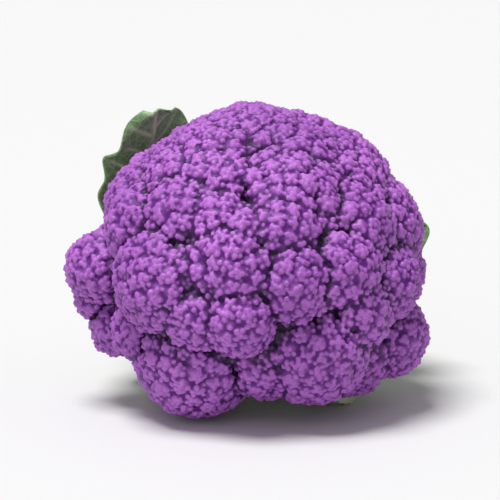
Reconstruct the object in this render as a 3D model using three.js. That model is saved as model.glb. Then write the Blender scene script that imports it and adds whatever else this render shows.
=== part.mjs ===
// A purple cauliflower head, as picked and trimmed. It rests on its cut stem and on its front florets,
// so its growth axis leans forward. Millimetres, +Z up, the front of the head faces -Y.
// The origin is the middle of the stem's flat cut face.
import * as THREE from "three";

const { degToRad } = THREE.MathUtils;

// Driving dimensions of the whole head.
const LEAN = degToRad(20);
const HEAD_CENTRE_HEIGHT = 58;
const CURD_RADIUS = 62;
const CURD_RISE = 58.5;
const CURD_DETAIL = 14;

const STEM_RADIUS = 21;
const STEM_TOP_HEIGHT = 17.7;
const STEM_TOP_RADIUS = 22;
const STEM_SIDES = 24;
const STEM_RIB = 0.8;
const STEM_RIBS = 8;

// The curd sits this far above the stem's top, so that the two solids only just miss each other.
const JOIN_GAP = 0.3;
const CURD_BASE_HEIGHT = STEM_TOP_HEIGHT + JOIN_GAP;

const CURD_COLOUR = "#7f4797";
const STEM_COLOUR = "#d5d6c6";
const LEAF_COLOUR = "#5f8a57";
const STALK_COLOUR = "#a9bd8c";

// The underside of the curd below its widest ring, as [radius, height] from the stem outwards.
const UNDERSIDE = [
  [26, CURD_BASE_HEIGHT],
  [38, 21],
  [50, 31],
  [58, 44],
  [CURD_RADIUS, HEAD_CENTRE_HEIGHT],
];

// Florets as [azimuth from the front towards +X, elevation above the widest ring, radius, bulge].
// The bulge is how far a floret stands proud of the curd between the florets.
const FLORETS = [
  // The lowest ring, front to back.
  [-30, -19.5, 25, 13.5],
  [27, -9, 23, 13],
  [68, -18, 17, 18],
  [50, -22, 17, 12],
  [-72, -17, 11, 12],
  [-82, -8, 9, 13],
  [-82, 5, 15, 14],
  [-54, -10, 14, 7],
  [6, -14, 18, 5],
  [-110, -7, 22, 9],
  [98, -6, 22, 9],
  [128, -7, 22, 8],
  [162, -6, 24, 8],
  [-165, -7, 24, 8],
  [-138, -6, 22, 8],
  // The ring above it.
  [-6, 12, 16, 8.5],
  [-43, 19, 24, 10],
  [-23, 11, 16, 7],
  [44, 5, 18, 8.5],
  [66, 7, 19, 8.5],
  [42, 23, 21, 7.5],
  [18, 25, 19, 7],
  [96, 18, 26, 8.5],
  [124, 18, 26, 7.5],
  [150, 20, 26, 7],
  [178, 20, 28, 7],
  [-152, 20, 28, 7],
  [-126, 18, 26, 7],
  [-103, 28, 22, 5],
  [-72, 32, 18, 7.5],
  [-11, 32, 24, 7],
  // The shoulder of the dome.
  [-50, 46, 22, 6],
  [-24, 49, 18, 5],
  [-6, 47, 10, 5.5],
  [17, 47, 21, 6],
  [36, 60, 30, 6.5],
  [66, 36, 24, 6.5],
  [88, 46, 26, 6],
  [116, 40, 32, 8],
  [146, 46, 32, 6],
  [-176, 50, 34, 7],
  [-146, 46, 30, 4],
  [-114, 50, 28, 3.5],
  [-80, 56, 24, 5],
  [-45, 66, 26, 5],
  // The crown.
  [-104, 72, 28, 6],
  [170, 72, 34, 7],
  [95, 70, 28, 6],
];

// A point given by its azimuth from the front, its distance from the growth axis and its height along it.
function onHead(azimuth, radius, height) {
  return new THREE.Vector3(radius * Math.sin(azimuth), -radius * Math.cos(azimuth), height);
}

// How far the bare curd reaches from the head's centre at each elevation.
function bareReach(elevation) {
  if (elevation >= 0) {
    return 1 / Math.hypot(Math.cos(elevation) / CURD_RADIUS, Math.sin(elevation) / CURD_RISE);
  }
  const reaches = UNDERSIDE.map(([radius, height]) => {
    const drop = height - HEAD_CENTRE_HEIGHT;
    return { elevation: Math.atan2(drop, radius), reach: Math.hypot(radius, drop) };
  });
  const next = reaches.findIndex((point) => point.elevation >= elevation);
  if (next <= 0) return reaches[0].reach;
  const [low, high] = [reaches[next - 1], reaches[next]];
  const share = (elevation - low.elevation) / (high.elevation - low.elevation);
  return THREE.MathUtils.lerp(low.reach, high.reach, share);
}

const floretBalls = FLORETS.map(([azimuth, elevation, radius, bulge]) => {
  const tilt = degToRad(elevation);
  const direction = onHead(degToRad(azimuth), Math.cos(tilt), Math.sin(tilt));
  const centre = direction.multiplyScalar(bareReach(tilt) + bulge - radius);
  return { centre, radius };
});

// How far the curd with its florets reaches from the head's centre in one direction.
function curdReach(direction) {
  let reach = bareReach(Math.asin(direction.z));
  for (const { centre, radius } of floretBalls) {
    const along = direction.dot(centre);
    const inside = radius * radius - centre.lengthSq() + along * along;
    if (inside > 0) reach = Math.max(reach, along + Math.sqrt(inside));
  }
  const drop = HEAD_CENTRE_HEIGHT - CURD_BASE_HEIGHT;
  return direction.z < 0 ? Math.min(reach, drop / -direction.z) : reach;
}

function curdGeometry() {
  const geometry = new THREE.IcosahedronGeometry(1, CURD_DETAIL);
  const points = geometry.getAttribute("position");
  const direction = new THREE.Vector3();
  for (let i = 0; i < points.count; i++) {
    direction.fromBufferAttribute(points, i).normalize();
    const reach = curdReach(direction);
    points.setXYZ(i, direction.x * reach, direction.y * reach, direction.z * reach);
  }
  geometry.translate(0, 0, HEAD_CENTRE_HEIGHT);
  geometry.computeVertexNormals();
  return geometry;
}

// Joins rings of points, each with the same count and running anticlockwise as seen from the last ring,
// into one closed body with a fan over each end.
function closedRings(rings) {
  const sides = rings[0].length;
  const middles = [rings[0], rings.at(-1)].map((ring) => {
    const sum = ring.reduce((total, point) => total.add(point), new THREE.Vector3());
    return sum.divideScalar(sides);
  });
  const points = [...rings.flat(), ...middles];
  const firstMiddle = rings.length * sides;
  const faces = [];
  for (let side = 0; side < sides; side++) {
    const next = (side + 1) % sides;
    for (let ring = 0; ring < rings.length - 1; ring++) {
      const [a, b] = [ring * sides + side, ring * sides + next];
      faces.push(a, b, b + sides, a, b + sides, a + sides);
    }
    const last = (rings.length - 1) * sides;
    faces.push(firstMiddle, next, side);
    faces.push(firstMiddle + 1, last + side, last + next);
  }
  const geometry = new THREE.BufferGeometry().setFromPoints(points);
  geometry.setIndex(faces);
  geometry.computeVertexNormals();
  return geometry;
}

// The stem is built standing on the ground, because its cut face is level while its axis leans.
function stemGeometry() {
  const ribbed = (angle) => STEM_RIB * Math.cos(STEM_RIBS * angle);
  const bottom = [];
  const top = [];
  for (let side = 0; side < STEM_SIDES; side++) {
    const angle = (2 * Math.PI * side) / STEM_SIDES;
    const low = STEM_RADIUS + ribbed(angle);
    const high = STEM_TOP_RADIUS;
    bottom.push(new THREE.Vector3(low * Math.cos(angle), low * Math.sin(angle), 0));
    const point = new THREE.Vector3(high * Math.cos(angle), high * Math.sin(angle), STEM_TOP_HEIGHT);
    top.push(point.applyAxisAngle(new THREE.Vector3(1, 0, 0), LEAN));
  }
  return closedRings([bottom, top]);
}

// The line that every leaf and every trimmed stalk follows up the outside of the head,
// as [distance from the growth axis, height along it].
const LEAF_LINE = [
  [28.4, 8.5],
  [40, 13.5],
  [52, 20],
  [63, 29],
  [71, 40],
  [75, 54],
  [74, 70],
  [69, 86],
  [62, 102],
];
const LEAF_SIDES = 12;
const LEAF_STEPS = 16;

// The stem and the leaf stalks are cut by one level stroke, which leaves the stalks just off the ground.
const STALK_FOOT_RADIUS = 27.2;
const STALK_FOOT_CLEARANCE = 1.8;
const STALK_CUT_HEIGHT = 0.4;

// The height along the growth axis of the level cut, at one azimuth and distance from the axis.
function levelCut(azimuth, radius) {
  return radius * Math.cos(azimuth) * Math.tan(LEAN) + STALK_CUT_HEIGHT / Math.cos(LEAN);
}

function leafLine(azimuth, flare) {
  const footHeight = levelCut(azimuth, STALK_FOOT_RADIUS) + STALK_FOOT_CLEARANCE;
  const points = [new THREE.Vector3(STALK_FOOT_RADIUS, footHeight, 0)];
  LEAF_LINE.forEach(([radius, height], i) => {
    const share = (i + 1) / LEAF_LINE.length;
    points.push(new THREE.Vector3(radius + flare * share ** 4, height, 0));
  });
  return new THREE.CatmullRomCurve3(points);
}

// Reads evenly spaced values at a share of the way along them.
function smoothValue(values, share) {
  const curve = new THREE.CatmullRomCurve3(values.map((value, i) => new THREE.Vector3(i, value, 0)));
  return curve.getPoint(share).y;
}

// A leaf or a trimmed stalk. reach is the share of the leaf line that it covers, and flare is how far
// its tip leans away from the head. Widths and thicknesses run evenly from its foot to its tip.
// Its section follows the curve of the head, so both its edges keep the same distance from the axis.
function leafGeometry({ azimuthDegrees, reach, flare, widths, thicknesses }) {
  const azimuth = degToRad(azimuthDegrees);
  const line = leafLine(azimuth, flare);
  const rings = [];
  for (let step = 0; step <= LEAF_STEPS; step++) {
    const share = step / LEAF_STEPS;
    const at = line.getPointAt(share * reach);
    const along = line.getTangentAt(share * reach);
    const halfWidth = smoothValue(widths, share) / 2;
    const halfThickness = smoothValue(thicknesses, share) / 2;
    const ring = [];
    for (let side = 0; side < LEAF_SIDES; side++) {
      const angle = (2 * Math.PI * side) / LEAF_SIDES;
      const out = halfThickness * Math.sin(angle);
      const radius = at.x + along.y * out;
      const turned = azimuth - (halfWidth * Math.cos(angle)) / at.x;
      const height = Math.max(at.y - along.x * out, levelCut(turned, radius));
      ring.push(onHead(turned, radius, height));
    }
    rings.push(ring);
  }
  return closedRings(rings);
}

const LEAF_WIDTHS = [16, 17, 18, 20, 30, 44, 50, 40, 12];
const LEAF_THICKNESSES = [8, 8, 7.5, 7, 6, 4.5, 3.5, 3, 2];
const STALK_WIDTHS = [16, 17, 18, 19, 18];
const STALK_THICKNESSES = [8, 8, 7.5, 7.5, 6.5];

const leaf = (azimuthDegrees, reach, flare) => ({
  azimuthDegrees,
  reach,
  flare,
  widths: LEAF_WIDTHS,
  thicknesses: LEAF_THICKNESSES,
});

const trimmedStalk = (azimuthDegrees, reach) => ({
  azimuthDegrees,
  reach,
  flare: 0,
  widths: STALK_WIDTHS,
  thicknesses: STALK_THICKNESSES,
});

const LEAVES = {
  leaf_rear_left: leaf(-145, 0.97, 6),
  leaf_rear: leaf(172, 0.8, 16),
  leaf_rear_right: leaf(132, 0.68, 8),
};

const TRIMMED_STALKS = {
  trimmed_stalk_left_front: trimmedStalk(-64, 0.2),
  trimmed_stalk_left: trimmedStalk(-104, 0.34),
  trimmed_stalk_right: trimmedStalk(93, 0.32),
  trimmed_stalk_right_front: trimmedStalk(58, 0.2),
};

function material(color, roughness) {
  return new THREE.MeshStandardMaterial({ color, roughness, metalness: 0 });
}

function namedMesh(name, geometry, finish) {
  const mesh = new THREE.Mesh(geometry, finish);
  mesh.name = name;
  return mesh;
}

const leaningHead = new THREE.Group();
leaningHead.rotation.x = LEAN;
leaningHead.add(namedMesh("curd", curdGeometry(), material(CURD_COLOUR, 0.75)));
for (const [name, shape] of Object.entries(LEAVES)) {
  leaningHead.add(namedMesh(name, leafGeometry(shape), material(LEAF_COLOUR, 0.55)));
}
for (const [name, shape] of Object.entries(TRIMMED_STALKS)) {
  leaningHead.add(namedMesh(name, leafGeometry(shape), material(STALK_COLOUR, 0.5)));
}

const cauliflower = new THREE.Group();
cauliflower.add(leaningHead);
cauliflower.add(namedMesh("stem", stemGeometry(), material(STEM_COLOUR, 0.6)));

export default cauliflower;
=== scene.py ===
import math
import random

import bmesh
import bpy
import numpy as np
from bpy.props import FloatProperty, FloatVectorProperty, IntProperty, PointerProperty
from mathutils import Matrix, Vector
from mathutils.kdtree import KDTree


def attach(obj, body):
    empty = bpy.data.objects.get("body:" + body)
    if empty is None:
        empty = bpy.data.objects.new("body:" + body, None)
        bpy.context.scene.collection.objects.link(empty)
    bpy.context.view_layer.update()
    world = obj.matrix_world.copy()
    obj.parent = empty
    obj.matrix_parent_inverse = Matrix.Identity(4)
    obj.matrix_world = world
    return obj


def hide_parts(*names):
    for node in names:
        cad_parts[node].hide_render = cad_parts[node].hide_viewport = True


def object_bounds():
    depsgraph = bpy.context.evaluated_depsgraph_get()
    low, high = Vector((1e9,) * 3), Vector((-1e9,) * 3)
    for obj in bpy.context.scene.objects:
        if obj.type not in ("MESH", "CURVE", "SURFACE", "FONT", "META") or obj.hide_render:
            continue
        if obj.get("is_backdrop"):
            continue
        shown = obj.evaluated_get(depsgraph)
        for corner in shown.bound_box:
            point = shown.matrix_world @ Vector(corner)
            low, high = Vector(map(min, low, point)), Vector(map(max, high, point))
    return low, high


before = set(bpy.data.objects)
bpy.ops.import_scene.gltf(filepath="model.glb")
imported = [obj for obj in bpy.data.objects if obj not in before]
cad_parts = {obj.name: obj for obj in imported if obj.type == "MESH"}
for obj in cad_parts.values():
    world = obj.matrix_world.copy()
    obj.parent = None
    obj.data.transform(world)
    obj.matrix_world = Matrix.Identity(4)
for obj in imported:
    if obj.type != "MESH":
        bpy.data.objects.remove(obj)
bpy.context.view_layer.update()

bl_info = {
    "name": "Purple Cauliflower",
    "version": (1, 0, 0),
    "blender": (4, 5, 0),
    "location": "View3D > Sidebar > Cauliflower",
    "description": "Grows a purple cauliflower head with its stem, leaf stalks and small rear leaves",
    "category": "Add Mesh",
}

# The head is grown upright about its own axis and then leans forward over its cut stem.
# The origin is the middle of the stem's cut face, the front of the head faces -Y.
MM = 0.001
LEAN = math.radians(20)
LEANING = Matrix.Rotation(LEAN, 4, "X")
HEAD_CENTRE = Vector((0, 0, 0.058))
CURD_RADIUS = 0.062
CURD_RISE = 0.0585
GOLDEN_ANGLE = math.pi * (3 - math.sqrt(5))

# The underside of the curd below its widest ring, as (distance from the axis, height).
UNDERSIDE = [(0.026, 0.018), (0.038, 0.021), (0.050, 0.031), (0.058, 0.044), (CURD_RADIUS, HEAD_CENTRE.z)]

# Where the branches fan out from, on the head's axis.
ROOT_HEIGHT = 0.012

# Florets as (azimuth from the front towards +X, elevation above the widest ring, radius, bulge),
# in degrees and millimetres. The bulge is how far a floret stands proud of the bare curd.
FLORETS = [
    # The lowest ring, front to back.
    (-30, -19.5, 25, 13.5),
    (27, -9, 23, 13),
    (68, -18, 17, 18),
    (50, -22, 17, 12),
    (-72, -17, 11, 12),
    (-82, -8, 9, 13),
    (-82, 5, 15, 14),
    (-54, -10, 14, 7),
    (6, -14, 18, 5),
    (-110, -7, 22, 9),
    (98, -6, 22, 9),
    (128, -7, 22, 8),
    (162, -6, 24, 8),
    (-165, -7, 24, 8),
    (-138, -6, 22, 8),
    # The ring above it.
    (-6, 12, 16, 8.5),
    (-43, 19, 24, 10),
    (-23, 11, 16, 7),
    (44, 5, 18, 8.5),
    (66, 7, 19, 8.5),
    (42, 23, 21, 7.5),
    (18, 25, 19, 7),
    (96, 18, 26, 8.5),
    (124, 18, 26, 7.5),
    (150, 20, 26, 7),
    (178, 20, 28, 7),
    (-152, 20, 28, 7),
    (-126, 18, 26, 7),
    (-103, 28, 22, 5),
    (-72, 32, 18, 7.5),
    (-11, 32, 24, 7),
    # The shoulder of the dome.
    (-50, 46, 22, 6),
    (-24, 49, 18, 5),
    (-6, 47, 10, 5.5),
    (17, 47, 21, 6),
    (36, 60, 30, 6.5),
    (66, 36, 24, 6.5),
    (88, 46, 26, 6),
    (116, 40, 32, 8),
    (146, 46, 32, 6),
    (-176, 50, 34, 7),
    (-146, 46, 30, 4),
    (-114, 50, 28, 3.5),
    (-80, 56, 24, 5),
    (-45, 66, 26, 5),
    # The crown.
    (-104, 72, 28, 6),
    (170, 72, 34, 7),
    (95, 70, 28, 6),
]

# The line that every leaf and stalk follows up the outside of the head,
# as (distance from the axis, height along it).
LEAF_LINE = [
    (0.0284, 0.0085),
    (0.040, 0.0135),
    (0.052, 0.020),
    (0.063, 0.029),
    (0.071, 0.040),
    (0.075, 0.054),
    (0.074, 0.070),
    (0.069, 0.086),
    (0.062, 0.102),
]
STALK_FOOT_RADIUS = 0.0272
STALK_FOOT_CLEARANCE = 0.0022
STALK_CUT_HEIGHT = 0.0004

# Leaves as name: (azimuth in degrees, share of the leaf line, outward flare of the tip).
LEAVES = {
    "leaf_rear_left": (-145, 0.97, 0.006),
    "leaf_rear": (172, 0.8, 0.016),
    "leaf_rear_right": (132, 0.68, 0.008),
}

# Trimmed stalks as name: (azimuth in degrees, share of the leaf line).
TRIMMED_STALKS = {
    "trimmed_stalk_left_front": (-64, 0.2),
    "trimmed_stalk_left": (-104, 0.34),
    "trimmed_stalk_right": (93, 0.32),
    "trimmed_stalk_right_front": (58, 0.2),
}

# How the mounds sit on the florets, and on the ground between them. The ground's mounds are sized as
# on a floret of GROUND_FLORET millimetres. MOUND_AREA is a share of a mound's radius squared, MOUND_SIZES
# and MOUND_SEAT are shares of its radius, and MOUND_SINKS are in millimetres. MOUND_OVERLAP is how deep
# a mound's place may lie inside a neighbouring floret.
MOUND_CAP = math.radians(125)
GROUND_CAP = math.radians(112)
GROUND_FLORET = 14
GROUND_DEPTH = 2 * MM
FEWEST_MOUNDS = 8
MOUND_AREA = 1.3
MOUND_SIZES = (0.85, 1.15)
MOUND_SEAT = 0.9
MOUND_SINKS = (-0.3, 0.7)
MOUND_JITTER = 0.07
MOUND_OVERLAP = 0.8 * MM

# How the beads sit on the mounds. BEAD_AREA is a share of their spacing squared, and BEAD_RISE is how far
# a bead stands out. BEAD_IN_MOUND and BEAD_IN_FLORET are how deep its place may lie inside another mound
# and inside any floret.
BEAD_CAP = math.radians(95)
BEAD_AREA = 0.6
BEAD_SIZES = (0.9, 1.12)
BEAD_JITTER = 0.05
BEAD_RISE = 0.72 * MM
BEAD_IN_MOUND = 0.25 * MM
BEAD_IN_FLORET = 3.2 * MM

# How far the bodies under the beads are drawn in, so that they show only between the beads.
FLORET_SHRINK = 0.55
MOUND_SHRINK = 0.35 * MM
CORE_SHRINK = 1.5 * MM
CORE_TUCK = 9 * MM

# Rounds of smoothing that tell the beads, and then the florets, from the surface they stand on.
BEAD_ROUNDS = 8
FLORET_ROUNDS = 90

# How far from the nearest bead the flesh begins to turn pale, and where it is quite bare.
BARE_FROM = 4.5 * MM
BARE_TO = 9 * MM

# A branch starts near the head's axis, bends outwards below its floret and forks into sprigs.
# Florets above the highest elevation, in degrees, have no branch that could be seen.
HIGHEST_BRANCHED = 30
BRANCH_START = 0.010
BEND_REACH = 0.6
BEND_CLIMB = 0.35
BEND_RISE = 0.008
SPRIGS = 6
BRANCH_FOOT = 1.15
SPRIG_FORK = 0.45
SPRIG_ELBOW = 0.35
SPRIG_REACH = 0.86
SPRIG_LIFT = 0.15
SPRIG_THICK = 0.55
SPRIG_THIN = 0.42

# The trunk below the branches. It is made longer than the stem and then cut level.
TRUNK_FLARE = 1 * MM
TRUNK_TOP_RADIUS = 16 * MM
TRUNK_LENGTH = 0.040
TRUNK_MIDDLE = 0.004
RIND_WIDTH = 1.2 * MM
PITH_STEP = 2 * MM
PITH_DEPTH = 0.4 * MM

# Lights as (name, direction it shines from, softness in degrees, strength).
LIGHTS = [
    ("key_light", (-0.22, -0.12, 1.0), 24, 3.3),
    ("fill_light", (-0.3, -1.0, 0.5), 50, 0.35),
]
FLOOR_RADIUS = 12


def srgb(red, green, blue):
    """A colour of 0 to 255 as Blender's linear values."""
    parts = [part / 255 for part in (red, green, blue)]
    return tuple(
        part / 12.92 if part <= 0.04045 else ((part + 0.055) / 1.055) ** 2.4 for part in parts
    )


def number_property(name, description, default, **kind):
    return FloatProperty(name=name, description=description, default=default, **kind)


def length_property(name, description, default):
    return number_property(name, description, default, min=0, unit="LENGTH", precision=5)


def colour_property(name, description, default):
    return FloatVectorProperty(
        name=name, description=description, default=default, size=3, min=0, max=1, subtype="COLOR"
    )


class CurdSettings(bpy.types.PropertyGroup):
    bead: length_property("Bead", "Radius of one bead of the curd", 1.24 * MM)
    spacing: length_property("Bead spacing", "Smallest distance between the places of two beads", 1.95 * MM)
    mound: length_property("Mound", "Radius of the mounds on a very small floret", 3.0 * MM)
    mound_growth: number_property("Mound growth", "Growth of a mound's radius with its floret's", 0.11)
    cleft: length_property("Cleft depth", "How far below the bare curd the mounds reach down", 5 * MM)
    grain: length_property("Grain", "Finest detail that the surface keeps", 0.45 * MM)
    triangles: IntProperty(name="Triangles", description="Triangles of the finished curd", default=196000)
    seed: IntProperty(
        name="Seed", description="Chooses another arrangement of the mounds and beads", default=7
    )
    # Painted highlight: the lighter lilac laid on the bead tops where light catches them.
    painted_highlight: colour_property("Bead tops", "Colour of the tops of the beads", srgb(192, 116, 212))
    flesh: colour_property("Beads", "Colour of the beads' sides", srgb(94, 24, 122))
    # Painted shade: the near-black violet laid deep between the florets where shade falls.
    shade: colour_property("Clefts", "Colour deep between the florets", srgb(28, 3, 42))
    stalk: colour_property("Bare flesh", "Colour of the flesh that carries no beads", srgb(168, 150, 178))


class StemSettings(bpy.types.PropertyGroup):
    radius: length_property("Radius", "Radius of the stem at its cut face", 21 * MM)
    branch: number_property("Branches", "Radius of a branch as a share of its floret's", 0.3)
    grain: length_property("Grain", "Finest detail that the surface keeps", 0.9 * MM)
    triangles: IntProperty(name="Triangles", description="Triangles of the finished stem", default=90000)
    rind: colour_property("Rind", "Colour of the stem's side", srgb(178, 196, 148))
    flesh: colour_property("Flesh", "Colour of the cut face", srgb(226, 228, 208))
    tinge: colour_property("Tinge", "Colour of the branches near the florets", srgb(150, 118, 168))


class LeafSettings(bpy.types.PropertyGroup):
    stalk_width: length_property("Stalk width", "Width of a leaf stalk", 18 * MM)
    stalk_depth: length_property("Stalk depth", "Thickness of a leaf stalk", 7.5 * MM)
    blade_width: length_property("Blade width", "Widest part of a leaf", 46 * MM)
    blade_depth: length_property("Blade depth", "Thickness of a leaf between its veins", 0.9 * MM)
    wave: length_property("Wave", "How far the margins wave", 4 * MM)
    vein_spacing: length_property("Vein spacing", "Distance between side veins along the midrib", 11 * MM)
    blade: colour_property("Blade", "Colour of the leaf between its veins", srgb(116, 154, 98))
    vein: colour_property("Veins", "Colour of the veins and the midrib", srgb(176, 200, 150))
    stalk: colour_property("Stalk", "Colour of the stalks", srgb(150, 178, 122))
    cut: colour_property("Cut", "Colour of the stalks' cut ends", srgb(214, 222, 186))


class StageSettings(bpy.types.PropertyGroup):
    azimuth: number_property("Azimuth", "Camera's angle round the head", 0, subtype="ANGLE")
    elevation: number_property(
        "Elevation", "Camera's angle above the floor", math.radians(12), subtype="ANGLE"
    )
    lens: number_property("Lens", "Focal length", 200, unit="CAMERA")
    fill: number_property("Fill", "Share of the picture's width that the head fills", 0.74)
    glow: number_property("Glow", "Soft light from all round the room", 0.34)
    backdrop: number_property("Backdrop", "Brightness of the wall behind the floor", 0.95)
    floor: colour_property("Floor", "Colour of the floor", (0.7, 0.7, 0.7))


def smoothstep(low, high, value):
    """0 below low and 1 above high, with a smooth rise between them."""
    share = min(max((value - low) / (high - low), 0), 1)
    return share * share * (3 - 2 * share)


def select_only(*pieces):
    bpy.ops.object.select_all(action="DESELECT")
    for piece in pieces:
        piece.select_set(True)
    bpy.context.view_layer.objects.active = pieces[0]


def apply_modifier(piece, kind, **settings):
    select_only(piece)
    modifier = piece.modifiers.new(kind.title(), kind)
    for name, value in settings.items():
        setattr(modifier, name, value)
    bpy.ops.object.modifier_apply(modifier=modifier.name)


def join(name, parts):
    select_only(*parts)
    bpy.ops.object.join()
    piece = bpy.context.active_object
    piece.name = name
    piece.data.name = name
    return piece


def point_cloud(name, places):
    mesh = bpy.data.meshes.new(name)
    mesh.from_pydata([tuple(place) for place in places], [], [])
    cloud = bpy.data.objects.new(name, mesh)
    bpy.context.collection.objects.link(cloud)
    return cloud


def scatter_balls(name, places, radii, levels):
    """One ball is modelled and copied to every place, each copy with its own radius."""
    bpy.ops.mesh.primitive_ico_sphere_add(subdivisions=levels, radius=1)
    ball = bpy.context.active_object
    cloud = point_cloud(name, places)
    size = cloud.data.attributes.new("size", "FLOAT", "POINT")
    size.data.foreach_set("value", radii)
    tree = bpy.data.node_groups.new("Scatter", "GeometryNodeTree")
    tree.interface.new_socket("Geometry", in_out="INPUT", socket_type="NodeSocketGeometry")
    tree.interface.new_socket("Geometry", in_out="OUTPUT", socket_type="NodeSocketGeometry")
    start = tree.nodes.new("NodeGroupInput")
    end = tree.nodes.new("NodeGroupOutput")
    source = tree.nodes.new("GeometryNodeObjectInfo")
    source.inputs["Object"].default_value = ball
    attribute = tree.nodes.new("GeometryNodeInputNamedAttribute")
    attribute.inputs["Name"].default_value = "size"
    copies = tree.nodes.new("GeometryNodeInstanceOnPoints")
    real = tree.nodes.new("GeometryNodeRealizeInstances")
    tree.links.new(start.outputs["Geometry"], copies.inputs["Points"])
    tree.links.new(source.outputs["Geometry"], copies.inputs["Instance"])
    tree.links.new(attribute.outputs["Attribute"], copies.inputs["Scale"])
    tree.links.new(copies.outputs["Instances"], real.inputs["Geometry"])
    tree.links.new(real.outputs["Geometry"], end.inputs["Geometry"])
    apply_modifier(cloud, "NODES", node_group=tree)
    bpy.data.node_groups.remove(tree)
    bpy.data.objects.remove(ball)
    return cloud


def vertex_array(mesh, field="co"):
    values = np.empty(len(mesh.vertices) * 3, np.float32)
    mesh.vertices.foreach_get(field, values)
    return values.reshape(-1, 3).astype(float)


def store(mesh, name, values):
    attribute = mesh.attributes.new(name, "FLOAT", "POINT")
    attribute.data.foreach_set("value", np.asarray(values, np.float32))


def relief(mesh, rounds):
    """How far each point stands above the surface, after each further number of rounds of smoothing."""
    places, normals = vertex_array(mesh), vertex_array(mesh, "normal")
    edges = np.empty(len(mesh.edges) * 2, np.int32)
    mesh.edges.foreach_get("vertices", edges)
    first, second = edges.reshape(-1, 2).T
    ends, others = np.concatenate([first, second]), np.concatenate([second, first])
    count = np.bincount(ends, minlength=len(places))[:, None]
    smooth = places
    heights = []
    for wanted in rounds:
        for _ in range(wanted):
            sums = [np.bincount(ends, smooth[others, axis], len(places)) for axis in range(3)]
            smooth = np.stack(sums, 1) / count
        heights.append(((places - smooth) * normals).sum(1))
    return heights


def search_tree(places):
    tree = KDTree(len(places))
    for index, place in enumerate(places):
        tree.insert(place, index)
    tree.balance()
    return tree


def finish_piece(piece, node):
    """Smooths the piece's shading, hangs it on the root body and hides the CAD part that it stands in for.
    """
    bpy.ops.object.shade_smooth()
    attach(piece, "root")
    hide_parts(node)


def spiral_cap(count, half_angle):
    """Directions spread evenly over a cap about +Z, each turned by the golden angle from the last."""
    for index in range(count):
        height = 1 - (index + 0.5) / count * (1 - math.cos(half_angle))
        side = math.sqrt(1 - height * height)
        turn = index * GOLDEN_ANGLE
        yield Vector((side * math.cos(turn), side * math.sin(turn), height))


def aim(direction, spin):
    """Turns +Z to the direction, after a spin about it."""
    return direction.to_track_quat("Z", "Y").to_matrix() @ Matrix.Rotation(spin, 3, "Z")


def on_head(azimuth, radius, height):
    return Vector((radius * math.sin(azimuth), -radius * math.cos(azimuth), height))


def bare_reach(elevation):
    """How far the bare curd reaches from the head's centre at an elevation."""
    if elevation >= 0:
        return 1 / math.hypot(math.cos(elevation) / CURD_RADIUS, math.sin(elevation) / CURD_RISE)
    drops = [(radius, height - HEAD_CENTRE.z) for radius, height in UNDERSIDE]
    elevations = [math.atan2(drop, radius) for radius, drop in drops]
    reaches = [math.hypot(radius, drop) for radius, drop in drops]
    return float(np.interp(elevation, elevations, reaches))


def elevation_of(direction):
    return math.asin(min(max(direction.z, -1), 1))


def floret_balls():
    balls = []
    for azimuth, elevation, radius, bulge in FLORETS:
        tilt = math.radians(elevation)
        direction = on_head(math.radians(azimuth), math.cos(tilt), math.sin(tilt))
        centre = HEAD_CENTRE + direction * (bare_reach(tilt) + (bulge - radius) * MM)
        balls.append((centre, radius * MM))
    return balls


def jitter(dice, amount):
    return Vector([dice.uniform(-amount, amount) for _ in range(3)])


def depth_in(balls, place, skip=None):
    """How deep the place lies inside the ball that covers it most."""
    depths = [radius - (place - centre).length for i, (centre, radius) in enumerate(balls) if i != skip]
    return max(depths)


def mound_size(settings, floret_radius):
    return settings.mound + settings.mound_growth * floret_radius


def cap_area(radius, half_angle):
    return 2 * math.pi * radius**2 * (1 - math.cos(half_angle))


def grow_mounds(settings, balls, dice):
    """The small mounds on the florets and on the ground between them, as (centre, radius, direction)."""
    mounds = []

    def add(place, direction, radius):
        radius *= dice.uniform(*MOUND_SIZES)
        depth = radius * MOUND_SEAT + dice.uniform(*MOUND_SINKS) * MM
        mounds.append((place - direction * depth, radius, direction))

    root = Vector((0, 0, ROOT_HEIGHT))
    for index, (centre, radius) in enumerate(balls):
        size = mound_size(settings, radius)
        count = round(cap_area(radius, MOUND_CAP) / (MOUND_AREA * size**2))
        turn = aim((centre - root).normalized(), dice.uniform(0, math.tau))
        for direction in spiral_cap(max(FEWEST_MOUNDS, count), MOUND_CAP):
            direction = turn @ (direction + jitter(dice, MOUND_JITTER)).normalized()
            place = centre + direction * radius
            offset = place - HEAD_CENTRE
            sunk = bare_reach(elevation_of(offset.normalized())) - offset.length
            if sunk < settings.cleft and depth_in(balls, place, index) < MOUND_OVERLAP:
                add(place, direction, size)
    size = settings.mound + settings.mound_growth * GROUND_FLORET * MM
    count = round(cap_area(CURD_RADIUS, GROUND_CAP) / (MOUND_AREA * size**2))
    for direction in spiral_cap(count, GROUND_CAP):
        place = HEAD_CENTRE + direction * (bare_reach(elevation_of(direction)) - GROUND_DEPTH)
        if depth_in(balls, place) < MOUND_OVERLAP:
            add(place, direction, size)
    return mounds


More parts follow.
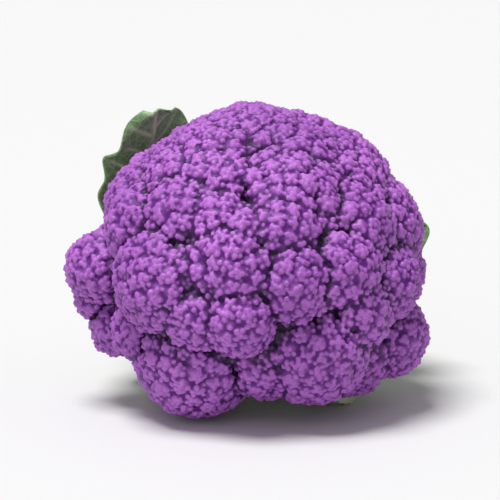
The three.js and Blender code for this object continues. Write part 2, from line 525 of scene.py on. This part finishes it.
def grow_beads(settings, mounds, balls, dice):
    """The beads that cover the open parts of the mounds, as (centre, radius)."""
    centres = np.array([centre for centre, _, _ in mounds])
    radii = np.array([radius for _, radius, _ in mounds])
    found = []
    for index, (centre, radius, direction) in enumerate(mounds):
        count = round(cap_area(radius, BEAD_CAP) / (BEAD_AREA * settings.spacing**2))
        turn = aim(direction, dice.uniform(0, math.tau))
        for around in spiral_cap(count, BEAD_CAP):
            outward = turn @ (around + jitter(dice, BEAD_JITTER)).normalized()
            place = centre + outward * radius
            size = settings.bead * dice.uniform(*BEAD_SIZES)
            gaps = np.linalg.norm(centres - np.array(place), axis=1) - radii
            # A bead may always touch the mound that it grows on.
            gaps[index] = math.inf
            if gaps.min() > -BEAD_IN_MOUND and depth_in(balls, place) < BEAD_IN_FLORET:
                found.append((place, outward, size))
    tree = search_tree([place for place, _, _ in found])
    crowded = set()
    for index, (place, _, _) in enumerate(found):
        if index not in crowded:
            near = tree.find_range(place, settings.spacing)
            crowded.update(other for _, other, _ in near if other > index)
    kept = [bead for index, bead in enumerate(found) if index not in crowded]
    return [(place - outward * (size - BEAD_RISE), size) for place, outward, size in kept]


def curd_core(settings):
    """The body inside the florets, which shows only as the ground of the deepest clefts, where the curd's
    material paints it dark as shade.
    """
    bpy.ops.mesh.primitive_ico_sphere_add(subdivisions=5, radius=1)
    core = bpy.context.active_object
    seat = HEAD_CENTRE.z - UNDERSIDE[0][1]
    for vertex in core.data.vertices:
        direction = vertex.co.normalized()
        reach = bare_reach(elevation_of(direction)) - settings.cleft - CORE_SHRINK
        if direction.z < 0:
            reach = min(reach + CORE_TUCK * direction.z, seat / -direction.z)
        vertex.co = HEAD_CENTRE + direction * reach
    return core


class Paint:
    """A node material under construction. A value may be a number, a colour or another node's socket."""

    # The mix node's colour sockets, which share their names with its number sockets.
    COLOUR_A = 6
    COLOUR_B = 7
    COLOUR_RESULT = 2

    def __init__(self, name):
        self.material = bpy.data.materials.new(name)
        self.material.use_nodes = True
        self.tree = self.material.node_tree
        self.shader = self.tree.nodes["Principled BSDF"]

    def put(self, socket, value):
        if isinstance(value, bpy.types.NodeSocket):
            self.tree.links.new(value, socket)
        elif hasattr(socket.default_value, "__len__") and len(socket.default_value) == 4:
            socket.default_value = (*value, 1)
        else:
            socket.default_value = value

    def node(self, kind, values=(), **settings):
        made = self.tree.nodes.new(kind)
        for name, value in settings.items():
            setattr(made, name, value)
        for name, value in dict(values).items():
            self.put(made.inputs[name], value)
        return made

    def attribute(self, name):
        return self.node("ShaderNodeAttribute", attribute_name=name).outputs["Fac"]

    def place(self):
        return self.node("ShaderNodeTexCoord").outputs["Object"]

    def noise(self, scale, detail=3):
        values = {"Vector": self.place(), "Scale": scale, "Detail": detail}
        return self.node("ShaderNodeTexNoise", values).outputs["Fac"]

    def cells(self, scale, feature="F1"):
        values = {"Vector": self.place(), "Scale": scale}
        return self.node("ShaderNodeTexVoronoi", values, feature=feature).outputs["Distance"]

    def span(self, value, low, high, to_low=0, to_high=1):
        values = {"Value": value, "From Min": low, "From Max": high}
        values.update({"To Min": to_low, "To Max": to_high})
        return self.node("ShaderNodeMapRange", values).outputs["Result"]

    def math(self, operation, first, second):
        return self.node("ShaderNodeMath", {0: first, 1: second}, operation=operation).outputs[0]

    def mix(self, share, first, second):
        made = self.node("ShaderNodeMix", data_type="RGBA")
        self.put(made.inputs["Factor"], share)
        self.put(made.inputs[self.COLOUR_A], first)
        self.put(made.inputs[self.COLOUR_B], second)
        return made.outputs[self.COLOUR_RESULT]

    def bump(self, height, distance, strength=1, normal=None):
        values = {"Height": height, "Distance": distance, "Strength": strength}
        made = self.node("ShaderNodeBump", values)
        if normal:
            self.put(made.inputs["Normal"], normal)
        return made.outputs["Normal"]

    def surface(self, **values):
        for name, value in values.items():
            self.put(self.shader.inputs[name.replace("_", " ")], value)
        return self.material


def curd_material(settings):
    """Purple beads with a painted highlight on their tops and painted shade between them and deep between
    the florets, on flesh that is pale where it has no beads.
    """
    paint = Paint("Purple Curd")
    bead = paint.span(paint.attribute("bead"), low=-0.34 * MM, high=0.27 * MM)
    # Painted shade: the broad relief darkens the curd deep in the clefts between the florets.
    cleft = paint.span(paint.attribute("cleft"), low=-1.7 * MM, high=0.3 * MM)
    patches = paint.span(paint.noise(scale=28), low=0.35, high=0.65)
    specks = paint.span(paint.noise(scale=900, detail=2), low=0.35, high=0.7)
    # Painted highlight: the bead relief lays the lighter top colour on each bead, so the tops show lit and
    # the ground between the beads darker.
    tops = paint.mix(paint.math("MULTIPLY", specks, 0.35), settings.painted_highlight, settings.flesh)
    beads = paint.mix(paint.math("POWER", bead, 1.4), settings.flesh, tops)
    toned = paint.mix(paint.math("MULTIPLY", patches, 0.3), beads, settings.flesh)
    shaded = paint.mix(cleft, settings.shade, toned)
    colour = paint.mix(paint.attribute("cover"), settings.stalk, shaded)
    granules = paint.bump(paint.cells(scale=1100), distance=0.25 * MM, strength=0.5)
    return paint.surface(
        Base_Color=colour,
        Roughness=0.52,
        Specular_IOR_Level=0.35,
        Subsurface_Weight=0.12,
        Subsurface_Radius=(0.9, 0.4, 1.0),
        Subsurface_Scale=2 * MM,
        Normal=granules,
    )


class CAULIFLOWER_OT_curd(bpy.types.Operator):
    """Grow the purple curd from florets, mounds and beads"""

    bl_idname = "cauliflower.curd"
    bl_label = "Curd"

    def execute(self, context):
        settings = context.scene.cauliflower_curd
        dice = random.Random(settings.seed)
        balls = floret_balls()
        mounds = grow_mounds(settings, balls, dice)
        beads = grow_beads(settings, mounds, balls, dice)
        inner_florets = [radius - FLORET_SHRINK * mound_size(settings, radius) for _, radius in balls]
        inner_mounds = [radius - MOUND_SHRINK for _, radius, _ in mounds]
        curd = join(
            "beaded_curd",
            [
                curd_core(settings),
                scatter_balls("florets", [centre for centre, _ in balls], inner_florets, levels=4),
                scatter_balls("mounds", [centre for centre, _, _ in mounds], inner_mounds, levels=3),
                scatter_balls("beads", [place for place, _ in beads], [size for _, size in beads], levels=1),
            ],
        )
        grain = settings.grain * 1
        apply_modifier(curd, "REMESH", mode="VOXEL", voxel_size=grain)
        self.keep_outside(curd)
        apply_modifier(curd, "TRIANGULATE")
        share = settings.triangles / len(curd.data.polygons)
        apply_modifier(curd, "DECIMATE", ratio=min(1, share))
        self.measure(curd.data, [place for place, _ in beads])
        curd.data.transform(LEANING)
        curd.data.materials.append(curd_material(settings))
        select_only(curd)
        finish_piece(curd, "curd")
        return {"FINISHED"}

    def keep_outside(self, curd):
        """Drops the small closed skins that remeshing leaves inside the body."""
        body = bmesh.new()
        body.from_mesh(curd.data)
        left = set(body.verts)
        islands = []
        while left:
            island = [left.pop()]
            for vertex in island:
                for edge in vertex.link_edges:
                    other = edge.other_vert(vertex)
                    if other in left:
                        left.remove(other)
                        island.append(other)
            islands.append(island)
        islands.sort(key=len)
        loose = [vertex for island in islands[:-1] for vertex in island]
        bmesh.ops.delete(body, geom=loose, context="VERTS")
        body.to_mesh(curd.data)
        body.free()

    def measure(self, mesh, beads):
        """Stores how high each point stands among the beads and the florets, and whether beads cover it."""
        fine, broad = relief(mesh, (BEAD_ROUNDS, FLORET_ROUNDS))
        # The bead relief later paints the highlight on the bead tops, and the floret relief paints the shade
        # in the clefts.
        store(mesh, "bead", fine)
        store(mesh, "cleft", broad)
        tree = search_tree(beads)
        distances = [tree.find(vertex.co)[2] for vertex in mesh.vertices]
        store(mesh, "cover", [1 - smoothstep(BARE_FROM, BARE_TO, distance) for distance in distances])


def branch_balls(settings):
    """Balls strung along the branches that rise from the stem into each low floret."""
    places, radii = [], []

    def string(start, bend, end, thick, thin):
        # The balls stand closer than their radius, so that they merge into one smooth branch.
        length = (bend - start).length + (end - bend).length
        steps = max(4, round(length / (0.4 * thin)))
        for step in range(steps + 1):
            share = step / steps
            places.append(start.lerp(bend, share).lerp(bend.lerp(end, share), share))
            radii.append(thick + (thin - thick) * share)

    for (azimuth, elevation, _, _), (centre, radius) in zip(FLORETS, floret_balls()):
        if elevation > HIGHEST_BRANCHED:
            continue
        angle = math.radians(azimuth)
        out = math.hypot(centre.x, centre.y)
        start = on_head(angle, BRANCH_START, ROOT_HEIGHT)
        bend = on_head(angle, BEND_REACH * out, BEND_CLIMB * centre.z + BEND_RISE)
        thick = settings.branch * radius
        string(start, bend, centre, thick * BRANCH_FOOT, thick)
        axis = (centre - bend).normalized()
        turn = aim(axis, angle)
        fork = bend.lerp(centre, SPRIG_FORK)
        elbow = centre - axis * radius * SPRIG_ELBOW
        for index in range(SPRIGS):
            around = index * math.tau / SPRIGS
            lean = Vector((math.cos(around), math.sin(around), SPRIG_LIFT)).normalized()
            tip = centre + turn @ lean * radius * SPRIG_REACH
            string(fork, elbow, tip, thick * SPRIG_THICK, thick * SPRIG_THIN)
    return places, radii


def stem_material(settings):
    """Pale green rind on the side, moist white flesh on the cut face, lilac towards the florets."""
    paint = Paint("Cauliflower Stem")
    height = paint.attribute("height")
    streaks = paint.noise(scale=260, detail=4)
    rind = paint.mix(paint.span(streaks, low=0.3, high=0.75), settings.rind, settings.flesh)
    tinged = paint.mix(paint.span(height, low=16 * MM, high=42 * MM), rind, settings.tinge)
    pores = paint.span(paint.cells(scale=420), low=0.1, high=0.6)
    pith = paint.mix(paint.math("MULTIPLY", pores, 0.12), settings.flesh, settings.rind)
    colour = paint.mix(paint.attribute("cut"), tinged, pith)
    skin = paint.bump(streaks, distance=0.5 * MM, strength=0.4)
    return paint.surface(
        Base_Color=colour,
        Roughness=0.5,
        Subsurface_Weight=0.2,
        Subsurface_Radius=(1, 0.9, 0.6),
        Subsurface_Scale=3 * MM,
        Normal=skin,
    )


class CAULIFLOWER_OT_stem(bpy.types.Operator):
    """Model the cut stem and the branches that carry the florets"""

    bl_idname = "cauliflower.stem"
    bl_label = "Stem and branches"

    def execute(self, context):
        settings = context.scene.cauliflower_stem
        places, radii = branch_balls(settings)
        bpy.ops.mesh.primitive_cone_add(
            vertices=64,
            radius1=settings.radius + TRUNK_FLARE,
            radius2=TRUNK_TOP_RADIUS,
            depth=TRUNK_LENGTH,
            location=(0, 0, TRUNK_MIDDLE),
        )
        trunk = bpy.context.active_object
        bpy.ops.object.transform_apply(location=True, rotation=True, scale=True)
        stem = join("branched_stem", [trunk, scatter_balls("branches", places, radii, levels=3)])
        apply_modifier(stem, "REMESH", mode="VOXEL", voxel_size=settings.grain)
        apply_modifier(stem, "SMOOTH", factor=0.5, iterations=6)
        store(stem.data, "height", vertex_array(stem.data)[:, 2])
        stem.data.transform(LEANING)
        self.cut_level(stem)
        low = vertex_array(stem.data)[:, 2]
        store(stem.data, "cut", (low < 0.1 * MM).astype(float))
        apply_modifier(stem, "TRIANGULATE")
        share = settings.triangles / len(stem.data.polygons)
        apply_modifier(stem, "DECIMATE", ratio=min(1, share))
        stem.data.materials.append(stem_material(settings))
        finish_piece(stem, "stem")
        return {"FINISHED"}

    def cut_level(self, stem):
        """Cuts the stem off level with the ground and sinks the pith a little inside its rind."""
        select_only(stem)
        bpy.ops.object.mode_set(mode="EDIT")
        bpy.ops.mesh.select_all(action="SELECT")
        bpy.ops.mesh.bisect(plane_co=(0, 0, 0), plane_no=(0, 0, 1), use_fill=True, clear_inner=True)
        bpy.ops.mesh.inset(thickness=RIND_WIDTH)
        bpy.ops.mesh.inset(thickness=PITH_STEP, depth=-PITH_DEPTH)
        bpy.ops.object.mode_set(mode="OBJECT")


def smooth_line(points, count):
    """Points spaced evenly along a smooth curve through the given points."""
    steps = 12
    dense = []
    padded = [points[0], *points, points[-1]]
    for before, start, end, after in zip(padded, padded[1:], padded[2:], padded[3:]):
        for step in range(steps):
            share = step / steps
            pull_in = (end - before) * 0.5
            pull_out = (after - start) * 0.5
            dense.append(
                start * (2 * share**3 - 3 * share**2 + 1)
                + pull_in * (share**3 - 2 * share**2 + share)
                + end * (3 * share**2 - 2 * share**3)
                + pull_out * (share**3 - share**2)
            )
    dense.append(points[-1])
    dense = np.array([list(point) for point in dense])
    lengths = np.concatenate([[0], np.cumsum(np.linalg.norm(np.diff(dense, axis=0), axis=1))])
    wanted = np.linspace(0, lengths[-1], count)
    return np.stack([np.interp(wanted, lengths, dense[:, axis]) for axis in range(dense.shape[1])], 1)


class LeafShape:
    """A leaf or trimmed stalk, described by shares across and along it."""

    SAMPLES = 200
    # Shares of the leaf's length between which it widens, thins from stalk to blade and starts to wave.
    WIDENS = (0.26, 0.62)
    THINS = (0.2, 0.42)
    WAVES = (0.3, 0.6)
    # Where its tip begins to round off, and how long the rounding is.
    TIP_START = 0.66
    TIP_LENGTH = 0.345
    NARROWEST = 0.8 * MM
    # The stalk's width at its foot, as a share, and how much it swells above it.
    FOOT = 0.9
    SWELL = 0.15
    RAGGED = 0.05
    VEIN_SLANT = 0.75
    VEIN_HEIGHT = 0.5 * MM
    RIDGE_HEIGHT = 0.3 * MM
    CRUMPLE = 1.1 * MM
    PUCKER = 0.5 * MM

    def __init__(self, settings, azimuth, reach, flare, blade, seed):
        self.settings = settings
        self.azimuth = math.radians(azimuth)
        self.blade = blade
        dice = random.Random(seed)
        self.phases = [dice.uniform(0, math.tau) for _ in range(6)]
        ground = STALK_FOOT_RADIUS * math.cos(self.azimuth) * math.tan(LEAN)
        points = [Vector((STALK_FOOT_RADIUS, ground + STALK_FOOT_CLEARANCE))]
        for index, (radius, height) in enumerate(LEAF_LINE):
            share = (index + 1) / len(LEAF_LINE)
            points.append(Vector((radius + flare * share**4, height)))
        line = smooth_line(points, self.SAMPLES)
        self.line = line[: max(2, round(reach * self.SAMPLES))]
        self.length = float(np.linalg.norm(np.diff(self.line, axis=0), axis=1).sum())

    def half_width(self, along):
        stalk = self.settings.stalk_width / 2
        if not self.blade:
            return stalk * (self.FOOT + self.SWELL * smoothstep(0, 0.5, along))
        foot = stalk * self.FOOT
        wide = self.settings.blade_width / 2
        grown = foot + (wide - foot) * smoothstep(*self.WIDENS, along)
        tip = math.sqrt(max(0.0, 1 - (max(along - self.TIP_START, 0) / self.TIP_LENGTH) ** 2))
        ragged = 1 + self.RAGGED * math.sin(along * 31 + self.phases[0]) * smoothstep(0.3, 0.5, along)
        return max(grown * tip * ragged, self.NARROWEST)

    def vein(self, across, along):
        """1 on a side vein and 0 away from it."""
        if not self.blade or along < 0.3:
            return 0
        side = abs(across) * self.half_width(along)
        spacing = self.settings.vein_spacing
        start = along * self.length - side * self.VEIN_SLANT - (0.5 if across > 0 else 0) * spacing
        offset = (start / spacing + 0.5) % 1 - 0.5
        width = 0.10 * (1.2 - 0.7 * abs(across))
        return math.exp(-((offset / width) ** 2)) * smoothstep(1.05, 0.75, abs(across))

    def rib(self, across, along):
        """1 on the midrib and 0 away from it."""
        side = abs(across) * self.half_width(along)
        width = (4.5 - 3.6 * smoothstep(0.3, 1, along)) * MM
        return math.exp(-((side / width) ** 2))

    def depth(self, across, along):
        """The thickness, from a rounded and ridged stalk to a thin blade on its midrib."""
        settings = self.settings
        ridge = self.RIDGE_HEIGHT * math.cos(across * 22) * smoothstep(1, 0.7, abs(across))
        stalk = settings.stalk_depth * math.sqrt(max(0, 1 - 0.85 * across * across)) + ridge
        if not self.blade:
            return stalk
        rib = settings.stalk_depth * (0.75 - 0.65 * smoothstep(0.35, 0.95, along))
        blade = settings.blade_depth + self.VEIN_HEIGHT * self.vein(across, along)
        leaf = max(blade, rib * self.rib(across, along))
        grown = smoothstep(*self.THINS, along)
        return stalk + (leaf - stalk) * grown

    def point(self, across, along):
        """A point of the side that faces the head, before the head leans."""
        place = along * (len(self.line) - 1)
        index = min(int(place), len(self.line) - 2)
        radius, height = self.line[index] + (self.line[index + 1] - self.line[index]) * (place - index)
        settings = self.settings
        grown = smoothstep(*self.WAVES, along) if self.blade else 0
        edge = abs(across) ** 2.2 * grown
        side = 0 if across < 0 else 3
        wave = 0.62 * math.sin(along * 24 + self.phases[side])
        wave += 0.38 * math.sin(along * 51 + self.phases[side + 1])
        crumple = math.sin(along * 19 + self.phases[2]) * math.cos(across * 3.4 + self.phases[5])
        crumple += 0.5 * math.sin(along * 37 + across * 5 + self.phases[4])
        quilting = self.PUCKER * grown * (1 - self.vein(across, along)) * (1 - self.rib(across, along))
        pucker = self.CRUMPLE * crumple * grown * along + quilting
        out = settings.wave * edge * (wave + 0.75) + pucker - 0.5 * settings.stalk_depth * (1 - grown)
        turn = across * self.half_width(along) / radius
        return on_head(self.azimuth + turn, radius + out, height + 0.4 * settings.wave * edge * wave)


def leaf_material(settings):
    """Waxy blue-green between pale veins, with a fine net of smaller veins, on a pale stalk."""
    paint = Paint("Cauliflower Leaf")
    vein = paint.attribute("vein")
    stalk = paint.attribute("stalk")
    edges = paint.cells(scale=330, feature="DISTANCE_TO_EDGE")
    net = paint.span(edges, low=0, high=0.16, to_low=1, to_high=0)
    blotches = paint.span(paint.noise(scale=45, detail=4), low=0.3, high=0.7)
    dark = tuple(0.66 * part for part in settings.blade)
    blade = paint.mix(blotches, settings.blade, dark)
    netted = paint.mix(paint.math("MULTIPLY", net, 0.35), blade, settings.vein)
    veined = paint.mix(vein, netted, settings.vein)
    fibres = paint.noise(scale=300)
    stalks = paint.mix(paint.span(fibres, low=0.3, high=0.75), settings.stalk, settings.vein)
    coloured = paint.mix(stalk, veined, stalks)
    colour = paint.mix(paint.attribute("cut"), coloured, settings.cut)
    clouds = paint.noise(scale=70, detail=5)
    bloom = paint.span(clouds, low=0.35, high=0.7, to_low=0.42, to_high=0.62)
    skin = paint.bump(net, distance=0.35 * MM, strength=0.5)
    rough = paint.bump(paint.noise(scale=240), distance=0.6 * MM, strength=0.35, normal=skin)
    return paint.surface(
        Base_Color=colour,
        Roughness=bloom,
        Specular_IOR_Level=0.45,
        Subsurface_Weight=0.1,
        Subsurface_Radius=(0.6, 1, 0.3),
        Subsurface_Scale=2 * MM,
        Normal=rough,
    )


def make_leaf(name, shape, columns, rows):
    """A grid laid along the leaf, given its thickness and closed all round."""
    bpy.ops.mesh.primitive_grid_add(x_subdivisions=columns, y_subdivisions=rows, size=2)
    leaf = bpy.context.active_object
    leaf.name = leaf.data.name = ("veined_" if shape.blade else "fibrous_") + name
    group = leaf.vertex_groups.new(name="depth")
    # Weights end at 1, so the full thickness is a little more than the thickest point.
    deepest = 1.05 * shape.settings.stalk_depth
    veins, stalks, cuts = [], [], []
    for vertex in leaf.data.vertices:
        across, along = vertex.co.x, (vertex.co.y + 1) / 2
        vertex.co = shape.point(across, along)
        group.add([vertex.index], shape.depth(across, along) / deepest, "REPLACE")
        veins.append(max(shape.vein(across, along), shape.rib(across, along)))
        stalks.append(1 - smoothstep(0.25, 0.5, along) if shape.blade else 1)
        cut_top = 0 if shape.blade else smoothstep(0.98, 1, along)
        cuts.append(max(smoothstep(0.012, 0, along), cut_top))
    store(leaf.data, "vein", veins)
    store(leaf.data, "stalk", stalks)
    store(leaf.data, "cut", cuts)
    apply_modifier(leaf, "SOLIDIFY", thickness=deepest, offset=1, vertex_group="depth", use_rim=True)
    leaf.vertex_groups.clear()
    leaf.data.transform(LEANING)
    for vertex in leaf.data.vertices:
        vertex.co.z = max(vertex.co.z, STALK_CUT_HEIGHT)
    select_only(leaf)
    bpy.ops.object.mode_set(mode="EDIT")
    bpy.ops.mesh.select_all(action="SELECT")
    bpy.ops.mesh.normals_make_consistent(inside=False)
    bpy.ops.object.mode_set(mode="OBJECT")
    finish_piece(leaf, name)
    return leaf


class CAULIFLOWER_OT_leaves(bpy.types.Operator):
    """Model the small leaves behind the head"""

    bl_idname = "cauliflower.leaves"
    bl_label = "Leaves"

    def execute(self, context):
        settings = context.scene.cauliflower_leaf
        material = leaf_material(settings)
        for seed, (name, (azimuth, reach, flare)) in enumerate(LEAVES.items()):
            shape = LeafShape(settings, azimuth, reach, flare, True, seed)
            leaf = make_leaf(name, shape, columns=64, rows=150)
            leaf.data.materials.append(material)
        return {"FINISHED"}


class CAULIFLOWER_OT_stalks(bpy.types.Operator):
    """Model the leaf stalks that were trimmed off short"""

    bl_idname = "cauliflower.stalks"
    bl_label = "Trimmed stalks"

    def execute(self, context):
        settings = context.scene.cauliflower_leaf
        material = bpy.data.materials.get("Cauliflower Leaf") or leaf_material(settings)
        for seed, (name, (azimuth, reach)) in enumerate(TRIMMED_STALKS.items()):
            shape = LeafShape(settings, azimuth, reach, 0, False, seed)
            stalk = make_leaf(name, shape, columns=32, rows=40)
            stalk.data.materials.append(material)
        return {"FINISHED"}


class CAULIFLOWER_OT_stage(bpy.types.Operator):
    """Lay the pale floor, hang the soft lights and set the camera"""

    bl_idname = "cauliflower.stage"
    bl_label = "Floor, lights and camera"

    def execute(self, context):
        settings = context.scene.cauliflower_stage
        self.lay_floor(settings)
        self.light_room(context.scene, settings)
        self.set_camera(context.scene, settings)
        return {"FINISHED"}

    def lay_floor(self, settings):
        bpy.ops.mesh.primitive_circle_add(vertices=128, radius=FLOOR_RADIUS, fill_type="NGON")
        floor = bpy.context.active_object
        floor.name = "floor"
        paint = Paint("Pale Floor")
        floor.data.materials.append(paint.surface(Base_Color=tuple(settings.floor), Roughness=0.7))
        floor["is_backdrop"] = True

    def light_room(self, scene, settings):
        world = bpy.data.worlds.new("Studio")
        scene.world = world
        world.use_nodes = True
        glow = world.node_tree.nodes["Background"]
        glow.inputs["Color"].default_value = (1, 1, 1, 1)
        seen = world.node_tree.nodes.new("ShaderNodeLightPath")
        strength = world.node_tree.nodes.new("ShaderNodeMapRange")
        strength.inputs["To Min"].default_value = settings.glow
        strength.inputs["To Max"].default_value = settings.backdrop
        world.node_tree.links.new(seen.outputs["Is Camera Ray"], strength.inputs["Value"])
        world.node_tree.links.new(strength.outputs["Result"], glow.inputs["Strength"])
        for name, place, softness, power in LIGHTS:
            bpy.ops.object.light_add(type="SUN", location=place)
            light = bpy.context.active_object
            light.name = name
            light.data.angle = math.radians(softness)
            light.data.energy = power
            light.rotation_euler = light.location.to_track_quat("Z", "Y").to_euler()

    def set_camera(self, scene, settings):
        low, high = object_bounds()
        centre = (low + high) / 2
        back = on_head(settings.azimuth, math.cos(settings.elevation), math.sin(settings.elevation))
        bpy.ops.object.camera_add()
        camera = bpy.context.active_object
        camera.data.lens = settings.lens
        half_view = camera.data.sensor_width / 2 / camera.data.lens
        distance = (high.x - low.x) / 2 / (half_view * settings.fill)
        camera.location = centre + back * distance
        camera.rotation_euler = (-back).to_track_quat("-Z", "Y").to_euler()
        scene.camera = camera
        scene.view_settings.view_transform = "Standard"


class CAULIFLOWER_PT_sidebar(bpy.types.Panel):
    """The operators and their settings, in the sidebar"""

    bl_label = "Purple Cauliflower"
    bl_idname = "CAULIFLOWER_PT_sidebar"
    bl_space_type = "VIEW_3D"
    bl_region_type = "UI"
    bl_category = "Cauliflower"

    def draw(self, context):
        for operator in OPERATORS:
            self.layout.operator(operator.bl_idname)
        for name in SETTINGS:
            settings = getattr(context.scene, name)
            box = self.layout.box()
            for field in settings.bl_rna.properties:
                if field.identifier not in ("rna_type", "name"):
                    box.prop(settings, field.identifier)


OPERATORS = (
    CAULIFLOWER_OT_curd,
    CAULIFLOWER_OT_stem,
    CAULIFLOWER_OT_leaves,
    CAULIFLOWER_OT_stalks,
    CAULIFLOWER_OT_stage,
)
SETTINGS = {
    "cauliflower_curd": CurdSettings,
    "cauliflower_stem": StemSettings,
    "cauliflower_leaf": LeafSettings,
    "cauliflower_stage": StageSettings,
}


def register():
    for made in (*SETTINGS.values(), *OPERATORS, CAULIFLOWER_PT_sidebar):
        bpy.utils.register_class(made)
    for name, group in SETTINGS.items():
        setattr(bpy.types.Scene, name, PointerProperty(type=group))


def unregister():
    for name in SETTINGS:
        delattr(bpy.types.Scene, name)
    for made in (CAULIFLOWER_PT_sidebar, *OPERATORS, *SETTINGS.values()):
        bpy.utils.unregister_class(made)


def main():
    register()
    bpy.ops.cauliflower.curd()
    bpy.ops.cauliflower.stem()
    bpy.ops.cauliflower.leaves()
    bpy.ops.cauliflower.stalks()
    bpy.ops.cauliflower.stage()


if __name__ == "__main__":
    main()
